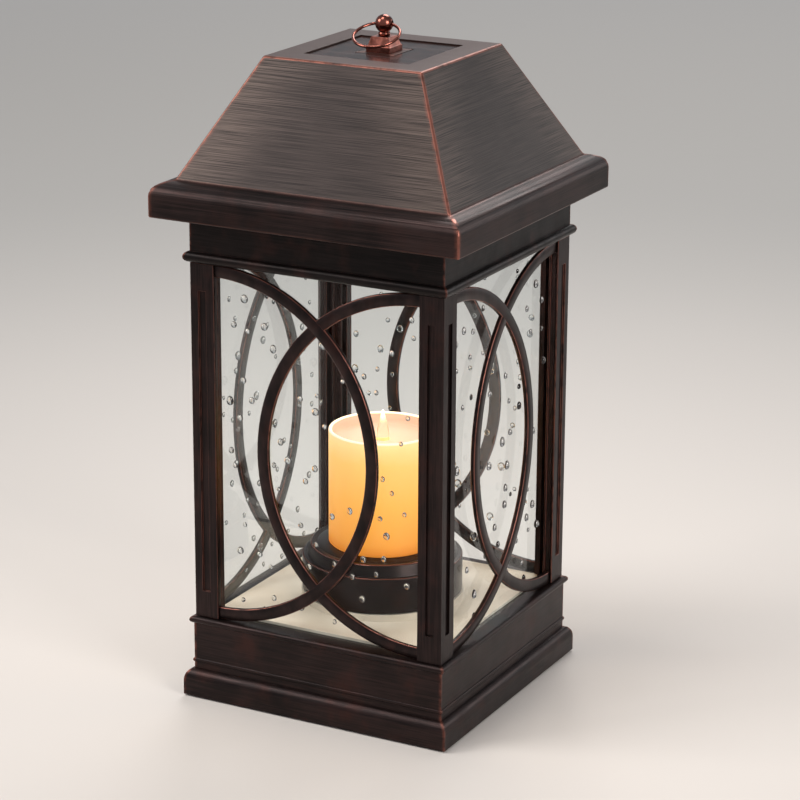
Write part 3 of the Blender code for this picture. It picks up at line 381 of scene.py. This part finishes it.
def refined(node, look, radius, body="lantern", where=None, worn=None, sharp=38.0):
    """A CAD node with its edges rounded, and the rounding marked for wear.

    where says which edges are rounded, by their middle point, and worn how much each place is rubbed.
    """
    shape = node_shape(node)
    wear = shape.faces.layers.float.new("wear")
    edges = []
    for edge in shape.edges:
        if len(edge.link_faces) != 2 or edge.calc_face_angle(0.0) < math.radians(sharp):
            continue
        middle = (edge.verts[0].co + edge.verts[1].co) / 2
        if where is None or where(middle):
            edges.append(edge)
    made = bmesh.ops.bevel(shape, geom=edges, offset=radius, offset_type="OFFSET", segments=2, profile=0.5,
                           affect="EDGES", clamp_overlap=True)
    for face in made["faces"]:
        face[wear] = worn(face.calc_center_median()) if worn else 1.0
    piece = add_piece(f"{node}_finish", shape, look, body)
    even = piece.modifiers.new("even", "WEIGHTED_NORMAL")
    even.keep_sharp = True
    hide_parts(node)
    return piece


def revolve(name, profile, look, body, marks=(), steps=96):
    """A closed profile of (distance from the axis, height) turned about Z.

    marks names face attributes: (name, set of the profile's segments that carry it).
    """
    shape = bmesh.new()
    layers = [(shape.faces.layers.float.new(mark), segments) for mark, segments in marks]
    rings = []
    for radius, height in profile:
        if radius < 0.000001:
            rings.append([shape.verts.new((0.0, 0.0, height))])
            continue
        rings.append([shape.verts.new((radius * math.cos(2 * math.pi * i / steps),
                                       radius * math.sin(2 * math.pi * i / steps), height))
                      for i in range(steps)])
    count = len(profile)
    for segment in range(count):
        one = rings[segment]
        two = rings[(segment + 1) % count]
        if len(one) == 1 and len(two) == 1:
            continue
        for i in range(steps):
            j = (i + 1) % steps
            corners = [one[i % len(one)], two[i % len(two)], two[j % len(two)], one[j % len(one)]]
            corners = list(dict.fromkeys(corners))
            face = shape.faces.new(corners)
            for layer, segments in layers:
                face[layer] = 1.0 if segment in segments else 0.0
    bmesh.ops.recalc_face_normals(shape, faces=shape.faces)
    return add_piece(name, shape, look, body, 40.0)


def round_corner(centre, radius, start, end, count):
    """Points of an arc, angles in degrees from outward to up."""
    return [(centre[0] + radius * math.cos(math.radians(start + (end - start) * i / count)),
             centre[1] + radius * math.sin(math.radians(start + (end - start) * i / count)))
            for i in range(count + 1)]


# ---------------------------------------------------------------- tracery
BAR_W = 0.007
BAR_EDGE = 0.00042
ARC_PAST_MIDDLE = 0.0370
RAIL_IN = 0.0625
ARC_STEPS = 88
SECOND_ARC_BACK = 0.00004


def sweep_bar(shape, wear, side, reach, rise, middle_z, front_y, thick):
    """One half-ellipse bar with a small chamfer along its four edges."""
    e = BAR_EDGE
    section = ((e, 0.0), (BAR_W - e, 0.0), (BAR_W, e), (BAR_W, thick - e), (BAR_W - e, thick), (e, thick),
               (0.0, thick - e), (0.0, e))
    chamfers = {1, 3, 5, 7}
    rings = []
    for step in range(-1, ARC_STEPS + 2):
        angle = math.radians(90.0 - 180.0 * min(max(step, 0), ARC_STEPS) / ARC_STEPS)
        past = 0.0015 if step in (-1, ARC_STEPS + 1) else 0.0
        ring = []
        for inset, depth in section:
            x = (reach - inset) * math.cos(angle) - past
            z = (rise - inset) * math.sin(angle)
            ring.append(shape.verts.new((side * (x - RAIL_IN), front_y + depth, middle_z + z)))
        rings.append(ring)
    size = len(section)
    for one, two in zip(rings, rings[1:]):
        for i in range(size):
            j = (i + 1) % size
            face = shape.faces.new((one[i], one[j], two[j], two[i]))
            face[wear] = 1.0 if i in chamfers else 0.0
    shape.faces.new(rings[0])
    shape.faces.new(list(reversed(rings[-1])))


def make_tracery(look):
    """Two crossing arcs and two hidden rails on each side."""
    low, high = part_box("tracery_front")
    middle_z = (low.z + high.z) / 2
    rise = (high.z - low.z) / 2
    thick = high.y - low.y
    for turn, side_name in enumerate(SIDES):
        shape = bmesh.new()
        wear = shape.faces.layers.float.new("wear")
        sweep_bar(shape, wear, 1, RAIL_IN + ARC_PAST_MIDDLE, rise, middle_z, low.y, thick)
        sweep_bar(shape, wear, -1, RAIL_IN + ARC_PAST_MIDDLE, rise, middle_z, low.y + SECOND_ARC_BACK,
                  thick - 2 * SECOND_ARC_BACK)
        for side in (-1, 1):
            ends = sorted((side * RAIL_IN, side * high.x))
            size = Vector((ends[1] - ends[0], thick - 4 * SECOND_ARC_BACK, high.z - low.z))
            centre = Vector(((ends[0] + ends[1]) / 2, (low.y + high.y) / 2, middle_z))
            bmesh.ops.create_cube(shape, size=1.0,
                                  matrix=Matrix.Translation(centre) @ Matrix.Diagonal((*size, 1.0)))
        bmesh.ops.recalc_face_normals(shape, faces=shape.faces)
        bmesh.ops.rotate(shape, verts=shape.verts, matrix=Matrix.Rotation(turn * math.pi / 2, 3, "Z"))
        piece = add_piece(f"tracery_{side_name}_finish", shape, look, "lantern", 50.0)
        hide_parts(f"tracery_{side_name}")


# ---------------------------------------------------------------- dew drops
DROPS_PER_PANE = 66
DROP_STEPS = 18
DROP_RINGS = 6
DROP_SPACING = 0.0085
DROP_EDGE = 0.005            # clear of the opening's edges
DROP_RADIUS = 0.0012
DROP_RADIUS_RANGE = 0.0011
DROP_DEPTH = 0.85            # of its radius
DROP_OFF_PANE = 0.00003
# The dark rings and the crescent below are painted shade on the drops.
DARK_RINGS = 2               # all round a drop's edge
CRESCENT_RINGS = 5
CRESCENT = (0.45, 0.8)       # the part of the way round that the crescent takes


def add_drop(shape, edge, x, z, face_y, width, height, depth):
    """One dome that stands on the pane's outer face, with its edge and a crescent marked for painted shade that
    stands in for the dark surroundings the drop refracts.
    """
    rings = []
    for ring in range(DROP_RINGS):
        angle = math.pi / 2 * ring / DROP_RINGS
        reach = math.cos(angle)
        out = depth * math.sin(angle)
        rings.append([shape.verts.new((x + width * reach * math.cos(2 * math.pi * i / DROP_STEPS), face_y - out,
                                       z + height * reach * math.sin(2 * math.pi * i / DROP_STEPS)))
                      for i in range(DROP_STEPS)])
    tip = shape.verts.new((x, face_y - depth, z))
    for ring, (one, two) in enumerate(zip(rings, rings[1:])):
        for i in range(DROP_STEPS):
            j = (i + 1) % DROP_STEPS
            face = shape.faces.new((one[i], one[j], two[j], two[i]))
            in_crescent = DROP_STEPS * CRESCENT[0] < i < DROP_STEPS * CRESCENT[1]
            if ring < DARK_RINGS or ring < CRESCENT_RINGS and in_crescent:
                face[edge] = 0.85
    for i in range(DROP_STEPS):
        shape.faces.new((rings[-1][i], rings[-1][(i + 1) % DROP_STEPS], tip))
    shape.faces.new(list(reversed(rings[0])))


def make_dew(look):
    """Clear drops scattered over each pane."""
    low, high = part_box("glass_front")
    for turn, side_name in enumerate(SIDES):
        chance = random.Random(40 + turn)
        shape = bmesh.new()
        edge = shape.faces.layers.float.new("edge")
        placed = []
        while len(placed) < DROPS_PER_PANE:
            x = chance.uniform(-RAIL_IN + DROP_EDGE, RAIL_IN - DROP_EDGE)
            z = chance.uniform(low.z + DROP_EDGE, high.z - DROP_EDGE)
            if any(math.hypot(x - a, z - b) < DROP_SPACING for a, b in placed):
                continue
            placed.append((x, z))
            radius = DROP_RADIUS + DROP_RADIUS_RANGE * chance.random() ** 1.4
            height = radius * chance.uniform(1.0, 1.3)
            add_drop(shape, edge, x, z, low.y - DROP_OFF_PANE, radius, height, radius * DROP_DEPTH)
        bmesh.ops.recalc_face_normals(shape, faces=shape.faces)
        bmesh.ops.rotate(shape, verts=shape.verts, matrix=Matrix.Rotation(turn * math.pi / 2, 3, "Z"))
        drops = add_piece(f"dew_{side_name}", shape, look, "lantern", 80.0)
        drops.visible_shadow = False


# ---------------------------------------------------------------- candle and holder
def make_candle():
    """Wax pillar with a rounded rim and a shallow dish."""
    low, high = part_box("candle_sleeve")
    radius = high.x
    rim = 0.0019
    dish = high.z - 0.0066
    profile = [(0.0041, dish), (radius - rim - 0.004, dish), (radius - rim - 0.0012, dish + 0.0006),
               (radius - rim, dish + 0.0022), (radius - rim, high.z - 0.0007)]
    rim_from = len(profile) - 1
    profile += round_corner((radius - rim / 2, high.z - 0.0009), rim / 2, 165, 0, 8)
    rim_to = len(profile)
    profile += [(radius, high.z - 0.02), (radius, high.z - 0.04), (radius, low.z + 0.0008),
                (radius - 0.0008, low.z), (radius - 0.002, low.z), (radius - 0.002, dish - 0.002),
                (0.0041, dish - 0.002)]
    look = wax_look("candle_wax_glow", low.z, high.z)
    marks = (("dish", set(range(rim_from))), ("rim", set(range(rim_from, rim_to - 1))))
    piece = revolve("candle_wax", profile, look, "lantern", marks)
    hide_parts("candle_sleeve")


def make_holder(look):
    """Stepped holder with two raised rings that catch the light."""
    low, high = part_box("candle_holder")
    radius = high.x
    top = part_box("candle_sleeve")[0].z - 0.0003
    step = low.z + 0.0208
    shoulder = radius - 0.0032
    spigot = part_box("candle_sleeve")[1].x - 0.0026
    wall = 0.0022
    profile = [(spigot, high.z), (spigot, top), (shoulder - 0.0060, top), (shoulder - 0.0052, top - 0.0005)]
    upper = len(profile)
    profile += round_corner((shoulder - 0.0026, top - 0.0014), 0.0014, 100, 10, 6)
    profile += [(shoulder - 0.0004, top - 0.0030), (shoulder + 0.0002, step + 0.0006), (shoulder + 0.0005, step)]
    lower = len(profile)
    profile += round_corner((radius - 0.0008, step - 0.0008), 0.0008, 90, 0, 5)
    profile += [(radius, low.z + 0.0005), (radius - 0.0005, low.z), (radius - wall, low.z),
                (radius - wall, step - wall), (shoulder - wall, step - wall), (shoulder - wall, top - wall),
                (0.004, top - wall), (0.004, top), (spigot - wall, top), (spigot - wall, high.z)]
    edge_faces = {upper + 2, upper + 3, lower + 1, lower + 2}
    piece = revolve("candle_holder_finish", profile, look, "lantern", (("wear", edge_faces),))
    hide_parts("candle_holder")


# ---------------------------------------------------------------- lantern body
PANEL_LINE_PITCH = 0.0021
PANEL_BAR_AT = 0.0165
OUTER_SKIN = 0.003
MITRE_NEAR = 0.0016
SLOPE_FOOT = 0.0196          # of the slopes, above the eave's lower edge
TOP_HALF = 0.0475            # of the flat top's width
FOOT_HALF = 0.0825


def outer_skin(half):
    """A test for points on the outside of a square moulding."""
    return lambda point: max(abs(point.x), abs(point.y)) > half - OUTER_SKIN


def on_mitre(elsewhere, rim_from=None):
    """Full wear at the corners of a square moulding and above a height, and less elsewhere."""
    def amount(point):
        if abs(abs(point.x) - abs(point.y)) < MITRE_NEAR:
            return 1.0
        if rim_from is not None and point.z > rim_from:
            return 0.8
        return elsewhere
    return amount


def make_metalwork():
    """The bronze mouldings, posts and roof with rubbed edges."""
    lower = bronze("base_bronze_finish", BRONZE_DARK, BRONZE_LIGHT, LEVEL_BRUSH, 0.36, mitre=0.0020, red=0.6)
    posts = bronze("post_bronze_finish", BRONZE_DARK, BRONZE_LIGHT, UPRIGHT_BRUSH, 0.38, worn=0.45)
    # The frieze gets the darker frieze bronze: painted shade under the eave.
    frieze_painted_shade = bronze("frieze_bronze_painted_shade", FRIEZE_SHADED_DARK, FRIEZE_SHADED_LIGHT, LEVEL_BRUSH, 0.40, worn=0.6,
                    mitre=0.0014, red=0.5)
    roof_low, roof_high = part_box("roof_shell")
    roof = bronze("roof_bronze_finish", ROOF_DARK, ROOF_LIGHT, ROOF_BRUSH, 0.42, worn=0.8, mitre=0.0034,
                  red=0.35, uneven=0.06, slopes=(roof_low.z + SLOPE_FOOT, roof_high.z))
    tracery = bronze("tracery_bronze_finish", BRONZE_DARK, BRONZE_LIGHT, BAR_BRUSH, 0.36, worn=0.6)
    strips = bronze("strip_bronze_finish", BRONZE_DARK, BRONZE_LIGHT, BAR_BRUSH, 0.40, worn=0.12)
    holder = bronze("holder_bronze_finish", HOLDER_DARK, HOLDER_LIGHT, HOLDER_BRUSH, 0.34,
                    worn=0.9, red=0.3, patchy=(0.0, 0.35), uneven=0.08)
    band_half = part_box("corner_post_1")[1].x
    refined("base_shell", lower, 0.00045, where=outer_skin(band_half), worn=on_mitre(0.15))
    for number in CORNER_NUMBERS:
        refined(f"corner_post_{number}", posts, 0.00035)
        refined(f"glass_strip_{number}", strips, 0.00025)
    refined("upper_frame", frieze_painted_shade, 0.00040, where=outer_skin(band_half), worn=on_mitre(0.5))
    refined("roof_shell", roof, 0.0011, where=roof_outside, worn=on_mitre(0.12, roof_high.z - 0.0012),
            sharp=20.0)
    make_tracery(tracery)
    make_holder(holder)


def roof_outside(point):
    """Edges of the roof's outer skin: hips, top rim and eave."""
    low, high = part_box("roof_shell")
    panel_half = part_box("solar_panel")[1].x
    across = max(abs(point.x), abs(point.y))
    if point.z > high.z - 0.0004:
        return across > panel_half + 0.008
    if point.z < low.z + SLOPE_FOOT:
        return across > high.x - 0.0008 or point.z > low.z + SLOPE_FOOT - 0.0011
    slope = (high.z - point.z) / (high.z - low.z - SLOPE_FOOT)
    outer = TOP_HALF + (FOOT_HALF - TOP_HALF) * slope
    return across > outer - 0.0012


def make_top():
    """Solar panel, finial and ring."""
    polished = copper("finial_copper_finish", (0.36, 0.120, 0.088), 0.13)
    refined("solar_panel", panel_look("solar_cell_finish"), 0.00025)
    refined("finial_block", copper("block_copper_finish", (0.32, 0.112, 0.084), 0.24), 0.0004)
    for node, body in (("finial_stud", "lantern"), ("hanging_ring", "ring")):
        shape = bmesh.new()
        shape.from_mesh(nodes[node].data)
        bmesh.ops.remove_doubles(shape, verts=shape.verts, dist=0.000002)
        piece = add_piece(f"{node}_finish", shape, polished, body, 50.0)
        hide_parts(node)


def make_underside():
    """Cover, feet, battery door and screws below the base."""
    cover = plastic("cover_plastic_finish", (0.012, 0.011, 0.011), (0.022, 0.020, 0.020), 0.50)
    door = plastic("door_plastic_finish", (0.016, 0.015, 0.015), (0.028, 0.026, 0.026), 0.45)
    rubber = plastic("foot_rubber_finish", (0.010, 0.010, 0.010), (0.020, 0.020, 0.020), 0.75, 1800.0)
    zinc = steel("zinc_finish")
    refined("bottom_cover", cover, 0.0003)
    refined("battery_door", door, 0.0003)
    refined("switch_slider", door, 0.0002, body="slider")
    for number in CORNER_NUMBERS:
        refined(f"foot_{number}", rubber, 0.0005)
        refined(f"cover_screw_{number}", zinc, 0.0002)
    refined("door_screw", zinc, 0.0002)


def make_floor_plate():
    """Cream plate inside the lantern."""
    g = Graph("cream_paint_finish")
    base = g.mix(g.between(g.noise(26.0, 5.0), 0.35, 0.68), (0.74, 0.65, 0.53), (0.86, 0.78, 0.66))
    specks = g.math("MULTIPLY", g.between(g.noise(700.0, 4.0), 0.62, 0.78), 0.16)
    g.set(Base_Color=g.mix(specks, base, (0.42, 0.33, 0.25)))
    g.set(Roughness=g.math("ADD", g.math("MULTIPLY", g.noise(150.0), 0.2), 0.36))
    g.bump(g.noise(900.0, 3.0), 0.00006, 0.5)
    refined("floor_plate", g.material, 0.0005)


def dress_inner_nodes():
    """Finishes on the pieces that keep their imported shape."""
    zinc = steel("inner_zinc_finish")
    black = plastic("inner_black_finish", (0.012, 0.012, 0.012), (0.025, 0.025, 0.025), 0.45)
    white = plastic("inner_white_finish", (0.50, 0.50, 0.48), (0.66, 0.65, 0.62), 0.40)
    green = plastic("board_green_finish", (0.006, 0.060, 0.025), (0.010, 0.095, 0.040), 0.30)
    sleeve = plastic("cell_sleeve_finish", (0.02, 0.12, 0.05), (0.04, 0.18, 0.08), 0.28)
    red = plastic("lead_red_finish", (0.22, 0.012, 0.010), (0.32, 0.022, 0.018), 0.40)
    glow = Graph("led_glow_finish")
    glow.set(Base_Color=glow.mix(glow.noise(300.0), (0.9, 0.75, 0.4), (1.0, 0.9, 0.6)))
    glow.set(Emission_Color=(1.0, 0.80, 0.46, 1.0), Emission_Strength=0.9, Roughness=0.2)
    lens_low, lens_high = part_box("flame_lens")
    looks = {"battery_bay": black, "battery_cell": sleeve, "battery_contact": zinc, "battery_spring": zinc,
             "switch_body": zinc, "circuit_board": green, "lamp_board": white, "lamp_stem": white,
             "lamp_led": glow.material, "flame_lens": flame_look("flame_lens_finish", lens_low.z + 0.008,
                                                                lens_high.z),
             "panel_lead": red, "lamp_lead": black, "finial_washer": zinc, "finial_nut": zinc,
             "holder_screw_1": zinc, "holder_screw_2": zinc}
    for number in CORNER_NUMBERS:
        looks[f"tie_rod_{number}"] = zinc
    pane = pane_look("pane_finish")
    for side_name in SIDES:
        looks[f"glass_{side_name}"] = pane
    for node, look in looks.items():
        for place in nodes[node].material_slots:
            place.material = look
    nodes["flame_lens"].visible_shadow = False


# ---------------------------------------------------------------- studio
# The floor runs from FLOOR_NEAR to FLOOR_FAR with distance: painted shade for the lights' falloff.
FLOOR_NEAR = (0.60, 0.555, 0.520)
FLOOR_FAR = (0.33, 0.318, 0.305)
WORLD_COLOUR = (0.80, 0.82, 0.86, 1.0)
WORLD_STRENGTH = 0.42
FLOOR_HALF = 8.0
BLEND_FROM = 1.4             # the floor takes on the world's light between these distances
BLEND_TO = 5.0
LIGHTS_AIM = Vector((0.0, 0.0, 0.2))
SOFT_LIGHTS = (  # name, place, size, power, colour
    ("key", (-1.7, -1.3, 1.7), 1.1, 34.0, (1.0, 0.985, 0.96)),
    ("side", (1.9, -0.7, 1.0), 1.0, 26.0, (1.0, 0.975, 0.95)),
    ("back", (-0.5, 2.0, 2.2), 1.4, 40.0, (1.0, 0.985, 0.965)),
    ("low", (1.25, 2.1, 0.75), 0.9, 5.5, (1.0, 0.975, 0.95)),
    ("overhead", (-0.35, -0.5, 2.1), 0.8, 15.0, (1.0, 0.985, 0.96)))


def make_studio():
    """Pale floor with painted shade that darkens it away from the lantern and a painted glow that fades it into
    the world's light; soft lights outside and two small ones inside.
    """
    g = Graph("studio_floor")
    x, y, _ = g.axes()
    away = g.math("POWER", g.math("ADD", g.math("MULTIPLY", x, x), g.math("MULTIPLY", y, y)), 0.5)
    near = g.math("ADD", away, g.math("MULTIPLY", g.math("SUBTRACT", g.noise(1.5, 2.0), 0.5), 0.1))
    # Painted shade: the floor's colour darkens with distance from the lantern; the emission below is a painted
    # glow.
    g.set(Base_Color=g.mix(g.between(near, 0.10, 1.25), FLOOR_NEAR, FLOOR_FAR), Roughness=0.75)
    fade = g.between(away, BLEND_FROM, BLEND_TO)
    g.set(Emission_Color=WORLD_COLOUR, Emission_Strength=g.math("MULTIPLY", fade, WORLD_STRENGTH))
    shape = bmesh.new()
    bmesh.ops.create_grid(shape, x_segments=8, y_segments=8, size=FLOOR_HALF)
    mesh = bpy.data.meshes.new("studio_floor")
    shape.to_mesh(mesh)
    shape.free()
    mesh.materials.append(g.material)
    floor = bpy.data.objects.new("studio_floor", mesh)
    bpy.context.scene.collection.objects.link(floor)
    world = bpy.data.worlds.new("studio_world")
    world.use_nodes = True
    world.node_tree.nodes["Background"].inputs["Color"].default_value = WORLD_COLOUR
    world.node_tree.nodes["Background"].inputs["Strength"].default_value = WORLD_STRENGTH
    bpy.context.scene.world = world
    for name, place, size, power, colour in SOFT_LIGHTS:
        data = bpy.data.lights.new(name, "AREA")
        data.shape = "SQUARE"
        data.size = size
        data.energy = power
        data.color = colour
        lamp = bpy.data.objects.new(name, data)
        lamp.location = place
        lamp.rotation_euler = (LIGHTS_AIM - Vector(place)).to_track_quat("-Z", "Y").to_euler()
        bpy.context.scene.collection.objects.link(lamp)
    flame = bpy.data.lights.new("flame", "POINT")
    flame.energy = 0.06
    flame.color = (1.0, 0.64, 0.32)
    flame.shadow_soft_size = 0.006
    inside = bpy.data.lights.new("inside", "AREA")
    inside.shape = "SQUARE"
    inside.size = 0.12
    inside.energy = 0.18
    inside.color = (1.0, 0.84, 0.68)
    above_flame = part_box("flame_lens")[1].z + 0.010
    below_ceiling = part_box("upper_frame")[0].z - 0.004
    for data, height in ((flame, above_flame), (inside, below_ceiling)):
        lamp = bpy.data.objects.new(data.name, data)
        lamp.location = (0.0, 0.0, height)
        lamp.visible_camera = False
        lamp.visible_glossy = False
        lamp.visible_transmission = False
        bpy.context.scene.collection.objects.link(lamp)
    bpy.context.scene.view_settings.view_transform = "Standard"


make_camera()
make_metalwork()
make_top()
make_floor_plate()
make_underside()
make_candle()
dress_inner_nodes()
make_dew(dew_look("dew_drop_clear"))
make_studio()
